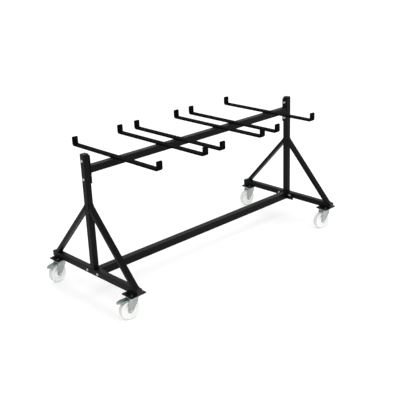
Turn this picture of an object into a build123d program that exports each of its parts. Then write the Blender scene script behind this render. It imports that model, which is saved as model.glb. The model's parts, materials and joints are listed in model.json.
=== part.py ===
from build123d import *
import os
from math import cos, radians, sin

# Mobile saddle rack: two A-shaped end frames on swivel castors, joined by a floor rail and a top
# beam that carries six upturned saddle arms. Millimetres, +Z up, X along the rack, Y across it.
# "near" is the -X end, where the castors have brakes; "far" is +X; "left" is +Y; "right" is -Y.
# The origin is on the floor, under the middle of the rack's overall box.

# ---- driving dimensions: end frames ----
tube = 40.0                 # side of the square tube in the end frames
tube_wall = 2.5
tube_corner = 3.0           # outside corner radius of the square tube
tube_inner_corner = 1.0
post_spacing = 1880.0       # centre to centre of the two posts
beam_length = 875.0         # base beam, along Y
post_height = 752.0         # post tube, standing on the base beam
brace_depth = 25.0          # brace section in the plane of the end frame, 40 x 25 tube
brace_wall = 2.0
brace_corner = 2.5
brace_inner_corner = 1.0
brace_rise = 430.0          # height on the post where the brace's outer face lands, above the beam
brace_reach = 413.0         # y on the beam where the brace's outer face lands
pad_size = (115.0, 95.0)    # castor pad, X by Y
pad_thick = 6.0
pad_corner = 4.0
pad_inset = 53.5            # pad centre from the beam's end

# ---- driving dimensions: beam, rail, arms ----
top_tube = 45.0             # side of the top beam's square tube
rail_tube = 50.0            # side of the floor rail's square tube
top_beam_drop = 97.5        # top beam's axis below the post's head
flange_thick = 6.0
top_flange = (45.0, 180.0)  # Y by Z
top_flange_corner = 8.0
top_bolt_spacing = 116.0
rail_flange = (165.0, 55.0)  # Y by Z
rail_bolt_spacing = 105.0
rail_flange_corner = 3.0
rail_drop = 10.0            # rail axis below the base beam's axis
arm_stations = (-712.5, -337.5, -187.5, 187.5, 337.5, 712.5)
arm_length = 850.0
arm_width = 40.0
arm_thick = 12.0
arm_lip = 60.0              # overall height of the upturned end
arm_bend = 10.0             # radius of the bend on the bar's middle line
arm_tip_corner = 4.0

# ---- driving dimensions: fasteners and caps ----
bolt_r = 4.0                # M8, in the frame and the castor plates
hole_r = 4.5
nut_bore_r = 4.1
hex_flats = 13.0
hex_head = 4.3              # head above its collar
hex_nut = 6.8               # nut above its collar
collar_r = 8.5
collar_thick = 1.2
thread_proud = 2.4          # thread standing out of a nut
axle_scale = 1.25           # the M10 axle bolts, against the M8 ones
axle_hole_r = 5.25
cap_flange = 2.0
cap_dome = 2.0
cap_slope = 45.0            # degrees, slope of the cap's edge
cap_plug = 15.0
plug_wall = 2.0
plug_corner = 2.0
cap_fit = 0.2               # gap between a cap's plug and the tube's inside

# ---- driving dimensions: castors ----
castor_height = 155.0
plate_size = (105.0, 85.0)
plate_thick = 4.0
plate_corner = 6.0
plate_holes = (80.0, 60.0)
wheel_r = 62.5
wheel_width = 36.0
hub_width = 44.0
hub_r = 15.0
boss_r = 24.0               # raised ring round the hub
rim_r = 49.0                # inside of the rim
wheel_web = 22.0
wheel_draft = 3.0
tread_corner = 6.0
trail = 40.0                # axle behind the swivel axis
fork_gap = 46.0             # between the fork's legs
fork_wall = 3.5
fork_bend = 5.0             # outside radius where the crown turns down into a leg
fork_top = 142.2            # top of the fork's crown above the floor
crown_thick = 4.5
crown_front = 31.0          # crown ahead of the swivel axis
crown_back = 44.0           # crown behind the swivel axis
leg_front = 14.0            # leg ahead of the swivel axis, at the crown
leg_shoulder = 118.0        # height where the leg's front edge starts to slant back
leg_end_r = 17.0            # rounded foot of the leg round the axle
sleeve_r = 8.0
sleeve_bore_r = 5.1
cup_r = 31.0
cup_bore_r = 10.0
race_r = 24.0
ball_r = 3.0
ball_fit = 0.15
ball_count = 12
ball_height = 142.5
cup_foot = 142.8
cup_edge = 2.0
kingpin_r = 6.0
kingpin_head_r = 10.0
kingpin_head = 4.0
kingpin_foot = 137.2        # top of the kingpin's head, half a millimetre under the crown
running_fit = 0.05          # radial clearance of a shaft that turns

# ---- driving dimensions: brake pedal ----
pivot_back = 32.0           # pivot behind the swivel axis
pivot_height = 130.0
pivot_r = 3.0
pin_head = 1.5
pin_head_r = 4.5
pedal_fall = 4.0            # degrees the raised pedal slopes down to its toe
pedal_width = 44.0
pedal_toe = 24.0            # width of the rounded toe
pedal_heel = 5.0            # pedal ahead of its pivot
pedal_taper = 54.0          # start of the taper towards the toe, behind the pivot
pedal_tip = 86.0            # toe's end behind the pivot
pedal_wall = 2.5
pedal_top = 5.0             # upper face above the pivot
pedal_skirt = 11.0          # depth of the folded rim
pedal_edge = 1.5            # rounding round the upper edge
shoe_span = (4.5, 17.0)
shoe_width = 32.0
shoe_foot = 0.3             # shoe's underside above the pivot's centre
shoe_corner = 2.0

# ---- derived positions ----
half = tube / 2
beam_foot = castor_height + pad_thick
beam_axis = beam_foot + half
post_foot = beam_foot + tube
post_head = post_foot + post_height
top_axis = post_head - top_beam_drop
rail_axis = beam_axis - rail_drop
arm_seat = top_axis + top_tube / 2
pad_y = beam_length / 2 - pad_inset
top_flange_face = post_spacing / 2 - half - flange_thick
fork_out = fork_gap / 2 + fork_wall
leg_foot = wheel_r - leg_end_r

# resting directions of the four castors, in degrees off the rack's length
castors = {
    "near_left": (-1, 1, -4.0),
    "near_right": (-1, -1, 13.0),
    "far_left": (1, 1, 8.0),
    "far_right": (1, -1, 14.0),
}
braked = ("near_left", "near_right")

# the rack's middle stands off the origin, because the pedals reach further than the far pads
toe_r = pedal_toe / 2
fall = radians(pedal_fall)
toe_centre = pivot_back + (pedal_tip - toe_r) * cos(fall) + pedal_top * sin(fall)
pedal_reach = toe_centre * cos(radians(castors["near_left"][2])) + toe_r
middle_x = (pedal_reach - pad_size[0] / 2) / 2
near_x = middle_x - post_spacing / 2
far_x = middle_x + post_spacing / 2
post_x = {"near": near_x, "far": far_x}

os.makedirs("parts", exist_ok=True)


def save(part, name):
    """Name a finished piece and write it to its own file."""
    part.label = name
    export_step(part, f"parts/{name}.step")


def square_tube(side):
    """Hollow section of a square tube, drawn in the open sketch."""
    inside = side - 2 * tube_wall
    RectangleRounded(side, side, tube_corner)
    RectangleRounded(inside, inside, tube_inner_corner, mode=Mode.SUBTRACT)


def brace_tube():
    """Hollow section of the 40 x 25 brace tube, drawn in the open sketch."""
    RectangleRounded(tube, brace_depth, brace_corner)
    RectangleRounded(
        tube - 2 * brace_wall,
        brace_depth - 2 * brace_wall,
        brace_inner_corner,
        mode=Mode.SUBTRACT,
    )


def hex_head_bolt(seat, length, scale=1.0):
    """Flanged hexagon bolt in the open part: seat's z runs along the shank."""
    with BuildSketch(seat) as collar:
        Circle(collar_r * scale)
    extrude(collar.sketch, amount=-collar_thick * scale)
    with BuildSketch(seat.offset(-collar_thick * scale)) as head:
        RegularPolygon(hex_flats / 2 * scale, 6, major_radius=False)
    extrude(head.sketch, amount=-hex_head * scale)
    with BuildSketch(seat) as shank:
        Circle(bolt_r * scale)
    extrude(shank.sketch, amount=length)


def hex_flange_nut(seat, scale=1.0):
    """Flanged hexagon nut in the open part: seat's z points away from the clamped face."""
    with BuildSketch(seat) as collar:
        Circle(collar_r * scale)
        Circle(nut_bore_r * scale, mode=Mode.SUBTRACT)
    extrude(collar.sketch, amount=collar_thick * scale)
    with BuildSketch(seat.offset(collar_thick * scale)) as body:
        RegularPolygon(hex_flats / 2 * scale, 6, major_radius=False)
        Circle(nut_bore_r * scale, mode=Mode.SUBTRACT)
    extrude(body.sketch, amount=hex_nut * scale)


def shank_length(grip, scale=1.0):
    """Length of a bolt's shank through what it clamps, its nut and the thread left over."""
    return grip + (collar_thick + hex_nut + thread_proud) * scale


def tube_cap(mouth):
    """Domed plastic cap in the open part: mouth lies on the tube's end, z pointing out."""
    outside = tube - 2 * tube_wall - 2 * cap_fit
    inside = outside - 2 * plug_wall
    with BuildSketch(mouth) as flange:
        RectangleRounded(tube, tube, tube_corner)
    extrude(flange.sketch, amount=cap_flange)
    with BuildSketch(mouth.offset(cap_flange)) as dome:
        RectangleRounded(tube, tube, tube_corner)
    extrude(dome.sketch, amount=cap_dome, taper=cap_slope)
    with BuildSketch(mouth) as plug:
        RectangleRounded(outside, outside, plug_corner)
        RectangleRounded(inside, inside, plug_corner / 2, mode=Mode.SUBTRACT)
    extrude(plug.sketch, amount=-cap_plug)


def facing(x, y, z, direction):
    """Plane at a point with its z along +X (1) or -X (-1)."""
    return Plane(origin=(x, y, z), x_dir=(0, 1, 0), z_dir=(direction, 0, 0))


# ---- end frames ----
for end, x in post_x.items():
    with BuildPart() as base_beam:
        with BuildSketch(Plane(origin=(x, -beam_length / 2, beam_axis), x_dir=(1, 0, 0), z_dir=(0, 1, 0))):
            square_tube(tube)
        extrude(amount=beam_length)
        with BuildSketch(Plane.YZ.offset(x - tube)):
            with Locations((0, beam_axis)):
                with GridLocations(rail_bolt_spacing, 1, 2, 1):
                    Circle(hole_r)
        extrude(amount=2 * tube, mode=Mode.SUBTRACT)
    save(base_beam.part, f"{end}_base_beam")

    with BuildPart() as post:
        with BuildSketch(Plane(origin=(x, 0, post_foot), x_dir=(1, 0, 0), z_dir=(0, 0, 1))):
            square_tube(tube)
        extrude(amount=post_height)
        with BuildSketch(Plane.YZ.offset(x - tube)):
            with Locations((0, top_axis)):
                with GridLocations(1, top_bolt_spacing, 1, 2):
                    Circle(hole_r)
        extrude(amount=2 * tube, mode=Mode.SUBTRACT)
    save(post.part, f"{end}_post")

    # a brace leans from the post's side face down to the beam's top face
    for side, sign in (("left", 1), ("right", -1)):
        down = Vector(0, sign * (brace_reach - half), -brace_rise).normalized()
        inward = Vector(0, -sign * brace_rise, -(brace_reach - half)).normalized()
        top_corner = Vector(x, sign * half, post_foot + brace_rise)
        start = top_corner + inward * (brace_depth / 2) - down * tube
        slope_length = (brace_rise ** 2 + (brace_reach - half) ** 2) ** 0.5
        with BuildPart() as brace:
            with BuildSketch(Plane(origin=start, x_dir=(1, 0, 0), z_dir=down)):
                brace_tube()
            extrude(amount=slope_length + 2 * tube)
            split(bisect_by=Plane(origin=(x, sign * half, 0), x_dir=(1, 0, 0), z_dir=(0, sign, 0)))
            split(bisect_by=Plane.XY.offset(post_foot))
        save(brace.part, f"{end}_{side}_brace")

# ---- top beam and floor rail, with their end flanges ----
with BuildPart() as top_beam:
    with BuildSketch(facing(middle_x - top_flange_face, 0, top_axis, 1)):
        square_tube(top_tube)
    extrude(amount=2 * top_flange_face)
save(top_beam.part, "top_beam")

with BuildPart() as bottom_rail:
    with BuildSketch(facing(middle_x - top_flange_face, 0, rail_axis, 1)):
        square_tube(rail_tube)
    extrude(amount=2 * top_flange_face)
save(bottom_rail.part, "bottom_rail")

with BuildPart() as top_beam_flanges:
    for side in (-1, 1):
        with BuildSketch(facing(middle_x + side * top_flange_face, 0, top_axis, side)):
            RectangleRounded(top_flange[0], top_flange[1], top_flange_corner)
            with GridLocations(1, top_bolt_spacing, 1, 2):
                Circle(hole_r, mode=Mode.SUBTRACT)
        extrude(amount=flange_thick)
save(top_beam_flanges.part, "top_beam_flanges")

with BuildPart() as bottom_rail_flanges:
    for side in (-1, 1):
        with BuildSketch(facing(middle_x + side * top_flange_face, 0, beam_axis, side)):
            with Locations((0, side * (tube - rail_flange[1]) / 2)):
                RectangleRounded(rail_flange[0], rail_flange[1], rail_flange_corner)
            with GridLocations(rail_bolt_spacing, 1, 2, 1):
                Circle(hole_r, mode=Mode.SUBTRACT)
        extrude(amount=flange_thick)
save(bottom_rail_flanges.part, "bottom_rail_flanges")

# ---- saddle arms: flat bar laid across the top beam, both ends bent up ----
for number, station in enumerate(arm_stations, start=1):
    reach = (arm_length - arm_thick) / 2
    low = arm_seat + arm_thick / 2
    with BuildPart() as arm:
        with BuildSketch(Plane.YZ.offset(middle_x + station - arm_width / 2)):
            with BuildLine():
                FilletPolyline(
                    (-reach, arm_seat + arm_lip),
                    (-reach, low),
                    (reach, low),
                    (reach, arm_seat + arm_lip),
                    radius=arm_bend,
                )
            trace(line_width=arm_thick)
        extrude(amount=arm_width)
        tips = arm.edges().filter_by(Axis.Y).group_by(Axis.Z)[-1]
        fillet(tips, arm_tip_corner)
    save(arm.part, f"saddle_arm_{number}")

# ---- castor pads, under the four ends of the base beams ----
for corner, (end_sign, side_sign, yaw) in castors.items():
    pad_x = middle_x + end_sign * post_spacing / 2
    with BuildPart() as pad:
        with BuildSketch(Plane.XY.offset(castor_height)):
            with Locations((pad_x, side_sign * pad_y)):
                RectangleRounded(pad_size[0], pad_size[1], pad_corner)
                with GridLocations(plate_holes[0], plate_holes[1], 2, 2):
                    Circle(hole_r, mode=Mode.SUBTRACT)
        extrude(amount=pad_thick)
    save(pad.part, f"{corner}_pad")

# ---- plastic end caps ----
with BuildPart() as post_caps:
    for x in post_x.values():
        tube_cap(Plane(origin=(x, 0, post_head), x_dir=(1, 0, 0), z_dir=(0, 0, 1)))
save(post_caps.part, "post_caps")

with BuildPart() as beam_end_caps:
    for x in post_x.values():
        for sign in (-1, 1):
            beam_end = (x, sign * beam_length / 2, beam_axis)
            tube_cap(Plane(origin=beam_end, x_dir=(1, 0, 0), z_dir=(0, sign, 0)))
save(beam_end_caps.part, "beam_end_caps")

# ---- frame fasteners: heads outside the end frames, nuts on the flanges inside ----
frame_shank = shank_length(tube + flange_thick)
top_bolts = [(0, top_axis + up * top_bolt_spacing / 2) for up in (-1, 1)]
rail_bolts = [(across * rail_bolt_spacing / 2, beam_axis) for across in (-1, 1)]

for name, places in (("top_flange", top_bolts), ("rail_flange", rail_bolts)):
    with BuildPart() as bolts:
        for end_sign in (-1, 1):
            outside = middle_x + end_sign * (post_spacing / 2 + half)
            for y, z in places:
                hex_head_bolt(facing(outside, y, z, -end_sign), frame_shank)
    save(bolts.part, f"{name}_bolts")
    with BuildPart() as nuts:
        for end_sign in (-1, 1):
            inside = middle_x + end_sign * top_flange_face
            for y, z in places:
                hex_flange_nut(facing(inside, y, z, -end_sign))
    save(nuts.part, f"{name}_nuts")

# ---- castor fasteners: heads under the castor plates, nuts on the pads ----
pad_centres = [
    (middle_x + end_sign * post_spacing / 2, side_sign * pad_y)
    for end_sign, side_sign, yaw in castors.values()
]
castor_shank = shank_length(plate_thick + pad_thick)
plate_foot = castor_height - plate_thick

with BuildPart() as castor_bolts:
    for x, y in pad_centres:
        for spot in GridLocations(plate_holes[0], plate_holes[1], 2, 2):
            at = (x + spot.position.X, y + spot.position.Y, plate_foot)
            seat = Plane(origin=at, x_dir=(1, 0, 0), z_dir=(0, 0, 1))
            hex_head_bolt(seat, castor_shank)
save(castor_bolts.part, "castor_bolts")

with BuildPart() as castor_nuts:
    for x, y in pad_centres:
        for spot in GridLocations(plate_holes[0], plate_holes[1], 2, 2):
            at = (x + spot.position.X, y + spot.position.Y, beam_foot)
            hex_flange_nut(Plane(origin=at, x_dir=(1, 0, 0), z_dir=(0, 0, 1)))
save(castor_nuts.part, "castor_nuts")

# ---- castor swivels: ball cups fixed under the plates, balls, and kingpins ----
with BuildPart() as ball_cups:
    for x, y in pad_centres:
        with BuildSketch(Plane(origin=(x, y, cup_foot), x_dir=(1, 0, 0), z_dir=(0, 0, 1))):
            Circle(cup_r)
            Circle(cup_bore_r, mode=Mode.SUBTRACT)
        extrude(amount=plate_foot - cup_foot)
        with Locations((x, y, ball_height)):
            Torus(race_r, ball_r + ball_fit, mode=Mode.SUBTRACT)
    outer_edges = ball_cups.edges().filter_by(GeomType.CIRCLE).group_by(SortBy.RADIUS)[-1]
    fillet(outer_edges.group_by(Axis.Z)[0], cup_edge)
save(ball_cups.part, "ball_cups")

with BuildPart() as swivel_balls:
    for x, y in pad_centres:
        with Locations((x, y, ball_height)):
            with PolarLocations(race_r, ball_count):
                Sphere(ball_r)
save(swivel_balls.part, "swivel_balls")

with BuildPart() as kingpins:
    for x, y in pad_centres:
        with BuildSketch(Plane(origin=(x, y, castor_height), x_dir=(1, 0, 0), z_dir=(0, 0, 1))):
            Circle(kingpin_r)
        extrude(amount=kingpin_foot - castor_height)
        with BuildSketch(Plane(origin=(x, y, kingpin_foot), x_dir=(1, 0, 0), z_dir=(0, 0, 1))):
            Circle(kingpin_head_r)
        extrude(amount=-kingpin_head)
save(kingpins.part, "kingpins")


def across_plane(at, behind, height, lateral):
    """Plane square to a castor's axle: x runs back, y up, z from the bolt's head to its nut."""
    across = at.y_dir
    spot = at.origin + at.x_dir * behind + Vector(0, 0, height) + across * lateral
    return Plane(origin=spot, x_dir=at.x_dir, z_dir=-across)


def pedal_outline(inset, heel):
    """Plan of the brake pedal in the open sketch: straight sides that taper to a round toe."""
    side = pedal_width / 2 - inset
    Polygon((-heel, -side), (pedal_taper, -side), (pedal_taper, side), (-heel, side), align=None)
    with Locations((pedal_tip - pedal_toe / 2, 0)):
        Circle(pedal_toe / 2 - inset)
    make_hull()


# ---- castors: plate, fork, wheel, axle and, on the near pair, the brake ----
for corner, (end_sign, side_sign, yaw) in castors.items():
    x = middle_x + end_sign * post_spacing / 2
    y = side_sign * pad_y
    # x of this plane runs back from the swivel axis along the trail, y runs across the wheel
    at = Plane(origin=(x, y, 0), x_dir=(-cos(radians(yaw)), sin(radians(yaw)), 0), z_dir=(0, 0, 1))
    has_brake = corner in braked

    with BuildPart() as plate:
        with BuildSketch(Plane.XY.offset(plate_foot)):
            with Locations((x, y)):
                RectangleRounded(plate_size[0], plate_size[1], plate_corner)
                Circle(kingpin_r, mode=Mode.SUBTRACT)
                with GridLocations(plate_holes[0], plate_holes[1], 2, 2):
                    Circle(hole_r, mode=Mode.SUBTRACT)
        extrude(amount=plate_thick)
    save(plate.part, f"{corner}_castor_plate")

    with BuildPart() as fork:
        # bent channel: crown over the wheel, a leg down each side
        below = leg_foot - 2 * fork_bend
        with BuildSketch(Plane(origin=at.origin - at.x_dir * crown_front, x_dir=at.y_dir, z_dir=at.x_dir)):
            with Locations((0, (fork_top + below) / 2)):
                RectangleRounded(2 * fork_out, fork_top - below, fork_bend)
            with Locations((0, (fork_top - crown_thick + below) / 2 - fork_bend)):
                RectangleRounded(
                    fork_gap,
                    fork_top - crown_thick - below + 2 * fork_bend,
                    fork_bend - fork_wall,
                    mode=Mode.SUBTRACT,
                )
        extrude(amount=crown_front + trail + leg_end_r)
        # trimmed to the outline seen from the side
        with BuildSketch(across_plane(at, 0, 0, 2 * fork_out)):
            with Locations((trail, wheel_r)):
                Circle(leg_end_r)
            Polygon((-leg_front, fork_top), (crown_back, fork_top), (-leg_front, leg_shoulder), align=None)
            make_hull()
            with Locations(((crown_back - crown_front) / 2, fork_top - crown_thick / 2)):
                Rectangle(crown_front + crown_back, crown_thick)
        extrude(amount=4 * fork_out, mode=Mode.INTERSECT)
        # trimmed to the plan, round at the front
        with BuildSketch(at.offset(fork_top)):
            Circle(crown_front)
            with Locations(((trail + leg_end_r) / 2, 0)):
                Rectangle(trail + leg_end_r, 4 * fork_out)
        extrude(amount=leg_foot - fork_top, mode=Mode.INTERSECT)
        # kingpin bore and ball groove
        with BuildSketch(at.offset(fork_top)):
            Circle(kingpin_r + running_fit)
        extrude(amount=-crown_thick, mode=Mode.SUBTRACT)
        with Locations((x, y, ball_height)):
            Torus(race_r, ball_r + ball_fit, mode=Mode.SUBTRACT)
        # axle holes, and the pedal pin's holes
        with BuildSketch(across_plane(at, trail, wheel_r, 2 * fork_out)):
            Circle(axle_hole_r)
        extrude(amount=4 * fork_out, mode=Mode.SUBTRACT)
        if has_brake:
            with BuildSketch(across_plane(at, pivot_back, pivot_height, 2 * fork_out)):
                Circle(pivot_r)
            extrude(amount=4 * fork_out, mode=Mode.SUBTRACT)
    save(fork.part, f"{corner}_fork")

    with BuildPart() as wheel:
        hub_centre = at.origin + at.x_dir * trail + Vector(0, 0, wheel_r)
        # half section, drawn as (across, out from the axle)
        with BuildSketch(Plane(origin=hub_centre, x_dir=at.y_dir, z_dir=at.x_dir)) as half_section:
            outline = [
                (hub_width / 2, sleeve_r + running_fit),
                (hub_width / 2, hub_r),
                (wheel_width / 2, hub_r + wheel_draft),
                (wheel_width / 2, boss_r),
                (wheel_web / 2, boss_r + wheel_draft),
                (wheel_web / 2, rim_r - wheel_draft),
                (wheel_width / 2, rim_r),
                (wheel_width / 2, wheel_r),
            ]
            Polygon(*outline, *[(-across, out) for across, out in reversed(outline)], align=None)
            tread_edges = half_section.vertices().group_by(Axis.Y)[-1]
            fillet(tread_edges, tread_corner)
        revolve(axis=Axis(hub_centre, at.y_dir))
    save(wheel.part, f"{corner}_wheel")

    with BuildPart() as sleeve:
        with BuildSketch(across_plane(at, trail, wheel_r, fork_gap / 2)):
            Circle(sleeve_r)
            Circle(sleeve_bore_r, mode=Mode.SUBTRACT)
        extrude(amount=fork_gap)
    save(sleeve.part, f"{corner}_axle_sleeve")

    with BuildPart() as axle_bolt:
        axle_shank = shank_length(2 * fork_out, axle_scale)
        hex_head_bolt(across_plane(at, trail, wheel_r, fork_out), axle_shank, axle_scale)
        hex_flange_nut(across_plane(at, trail, wheel_r, -fork_out), axle_scale)
    save(axle_bolt.part, f"{corner}_axle_bolt")

    if has_brake:
        with BuildPart() as pin:
            with BuildSketch(across_plane(at, pivot_back, pivot_height, fork_out + pin_head)):
                Circle(pivot_r)
            extrude(amount=2 * (fork_out + pin_head))
            with BuildSketch(
                across_plane(at, pivot_back, pivot_height, fork_out + pin_head),
                across_plane(at, pivot_back, pivot_height, -fork_out),
            ):
                Circle(pin_head_r)
            extrude(amount=pin_head)
        save(pin.part, f"{corner}_pedal_pin")

        # the pedal's plane slopes down to the toe; x runs back along it from the pin
        pivot = at.origin + at.x_dir * pivot_back + Vector(0, 0, pivot_height)
        tread = Plane(
            origin=pivot,
            x_dir=at.x_dir * cos(fall) - Vector(0, 0, sin(fall)),
            z_dir=at.x_dir * sin(fall) + Vector(0, 0, cos(fall)),
        )
        with BuildPart() as pedal:
            with BuildSketch(tread.offset(pedal_top - pedal_skirt)):
                pedal_outline(0, pedal_heel)
            extrude(amount=pedal_skirt)
            rim = pedal.edges().group_by(Axis(pivot, tread.z_dir))[-1]
            fillet(rim, pedal_edge)
            with BuildSketch(tread.offset(pedal_top - pedal_skirt)):
                pedal_outline(pedal_wall, 2 * pedal_heel)
            extrude(amount=pedal_skirt - pedal_wall, mode=Mode.SUBTRACT)
            with BuildSketch(across_plane(at, pivot_back, pivot_height, fork_out)):
                Circle(pivot_r + running_fit)
            extrude(amount=2 * fork_out, mode=Mode.SUBTRACT)
        save(pedal.part, f"{corner}_brake_pedal")

        with BuildPart() as shoe:
            with BuildSketch(tread.offset(shoe_foot)):
                with Locations(((shoe_span[0] + shoe_span[1]) / 2, 0)):
                    RectangleRounded(shoe_span[1] - shoe_span[0], shoe_width, shoe_corner)
            extrude(amount=pedal_top - pedal_wall - shoe_foot)
        save(shoe.part, f"{corner}_brake_shoe")
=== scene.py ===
"""Looks of the mobile saddle rack: powder-coated frame, zinc fasteners and nylon-wheeled castors."""
import json
import math

import bmesh
import bpy
from bpy.props import FloatProperty, FloatVectorProperty, IntProperty, PointerProperty
from mathutils import Matrix, Vector


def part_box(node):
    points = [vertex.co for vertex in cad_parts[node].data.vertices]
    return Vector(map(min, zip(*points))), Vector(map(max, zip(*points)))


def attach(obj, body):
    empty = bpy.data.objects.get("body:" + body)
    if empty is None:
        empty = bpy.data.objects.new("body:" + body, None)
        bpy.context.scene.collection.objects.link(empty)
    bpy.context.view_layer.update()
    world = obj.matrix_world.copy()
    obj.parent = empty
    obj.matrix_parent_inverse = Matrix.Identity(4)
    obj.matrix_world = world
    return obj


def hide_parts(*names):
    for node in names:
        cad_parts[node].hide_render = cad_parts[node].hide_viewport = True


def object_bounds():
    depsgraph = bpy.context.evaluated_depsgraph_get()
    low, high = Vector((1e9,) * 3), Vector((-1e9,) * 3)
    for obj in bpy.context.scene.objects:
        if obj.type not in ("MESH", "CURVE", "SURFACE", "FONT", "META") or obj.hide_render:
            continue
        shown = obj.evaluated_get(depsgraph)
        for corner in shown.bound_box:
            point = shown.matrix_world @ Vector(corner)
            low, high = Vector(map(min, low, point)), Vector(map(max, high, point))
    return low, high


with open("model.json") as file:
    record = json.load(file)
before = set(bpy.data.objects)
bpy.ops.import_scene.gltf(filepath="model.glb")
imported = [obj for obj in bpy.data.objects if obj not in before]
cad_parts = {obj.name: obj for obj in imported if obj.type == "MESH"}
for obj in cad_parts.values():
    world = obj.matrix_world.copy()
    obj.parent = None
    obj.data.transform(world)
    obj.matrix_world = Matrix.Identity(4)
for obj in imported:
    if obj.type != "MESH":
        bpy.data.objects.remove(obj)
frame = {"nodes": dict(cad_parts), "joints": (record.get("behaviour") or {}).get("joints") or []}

CAD_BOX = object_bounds()

bl_info = {
    "name": "Saddle rack finish",
    "version": (1, 0, 0),
    "blender": (4, 5, 0),
    "location": "View3D > Sidebar > Saddle rack",
    "description": "Builds the welds, fasteners, caps, wheels and finishes of a mobile saddle rack",
    "category": "Object",
}

MM = 0.001
UP = Vector((0, 0, 1))
JOINTS = {joint["name"]: joint for joint in frame["joints"]}
CORNERS = [name[: -len("_swivel")] for name in JOINTS if name.endswith("_swivel")]
BRAKED = [name[: -len("_brake_pedal")] for name in JOINTS if name.endswith("_brake_pedal")]
MIDDLE_X = sum(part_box("top_beam")[i].x for i in (0, 1)) / 2
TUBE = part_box("near_post")[1].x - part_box("near_post")[0].x
TUBE_CORNER = 3 * MM

STEEL_TUBES = [
    "near_base_beam", "near_post", "near_left_brace", "near_right_brace",
    "far_base_beam", "far_post", "far_left_brace", "far_right_brace",
    "top_beam", "bottom_rail",
]
SADDLE_ARMS = [f"saddle_arm_{number}" for number in range(1, 7)]
FLAT_STEEL = ["top_beam_flanges", "bottom_rail_flanges"] + [f"{corner}_pad" for corner in CORNERS]


# ---- sizes and colours ----

def distance(name, description, default):
    """A length setting."""
    return FloatProperty(name=name, description=description, default=default,
                         subtype="DISTANCE", unit="LENGTH")


def tint(name, description, default):
    """A colour setting."""
    return FloatVectorProperty(name=name, description=description, default=default,
                               subtype="COLOR", min=0, max=1)


class RackSizes(bpy.types.PropertyGroup):
    """Sizes of the details that are added to the frame."""
    bead: distance("Weld bead", "Radius of a weld bead", 3.0 * MM)
    ripple: distance("Weld ripple", "Distance between two ripples of a bead", 3.2 * MM)
    flats: distance("Across flats", "Width of a bolt's head or a nut", 13 * MM)
    head: distance("Head height", "Height of a bolt's hexagon", 4.3 * MM)
    nut: distance("Nut height", "Height of a nut's hexagon", 6.8 * MM)
    collar: distance("Collar radius", "Radius of the flange under a head or a nut", 8.5 * MM)
    collar_thick: distance("Collar thickness", "Thickness of that flange at its edge", 1.2 * MM)
    thread: distance("Thread radius", "Outside radius of a bolt's thread", 4 * MM)
    pitch: distance("Thread pitch", "Distance from one thread to the next", 1.25 * MM)
    axle_scale: FloatProperty(name="Axle bolt scale",
                              description="Size of the axle bolts against the others",
                              default=1.25)
    cap_height: distance("Cap height", "Height of a tube cap above the tube's end", 4 * MM)
    ridges: IntProperty(name="Pedal ridges",
                        description="Pressed ridges across a brake pedal's toe", default=4)


class RackColours(bpy.types.PropertyGroup):
    """Colours of the finishes."""
    coat: tint("Powder coat", "Colour of the frame", (0.0020, 0.0022, 0.0025))
    arm: tint("Arm coat", "Colour of the saddle arms", (0.0022, 0.0022, 0.0024))
    cap: tint("Tube caps", "Colour of the plastic caps", (0.010, 0.010, 0.011))
    bolt: tint("Fasteners", "Colour of the zinc on bolts and nuts", (0.56, 0.57, 0.58))
    castor: tint("Castors", "Colour of the passivated zinc on the castors", (0.345, 0.37, 0.37))
    pedal: tint("Pedals", "Colour of the green-passivated brake pedals", (0.25, 0.31, 0.295))
    dark_bolt: tint("Castor bolts", "Colour of the darkened castor bolts", (0.085, 0.09, 0.09))
    nylon: tint("Wheels", "Colour of the nylon wheels", (0.90, 0.91, 0.89))
    floor: tint("Floor", "Colour of the studio floor", (0.96, 0.96, 0.96))


def sizes():
    """The rack's size settings in the current scene."""
    return bpy.context.scene.rack_sizes


def colours():
    """The rack's colour settings in the current scene."""
    return bpy.context.scene.rack_colours


# ---- shader maths ----

class Tone:
    """One number that varies over a surface; arithmetic on it adds Math nodes."""

    def __init__(self, finish, socket):
        self.finish = finish
        self.socket = socket

    def calculate(self, operation, first, second):
        made = self.finish.node("ShaderNodeMath", {"operation": operation}, {0: first, 1: second})
        return Tone(self.finish, made.outputs[0])

    def __add__(self, other):
        return self.calculate("ADD", self, other)

    def __radd__(self, other):
        return self.calculate("ADD", other, self)

    def __mul__(self, other):
        return self.calculate("MULTIPLY", self, other)

    def __rmul__(self, other):
        return self.calculate("MULTIPLY", other, self)


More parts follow.
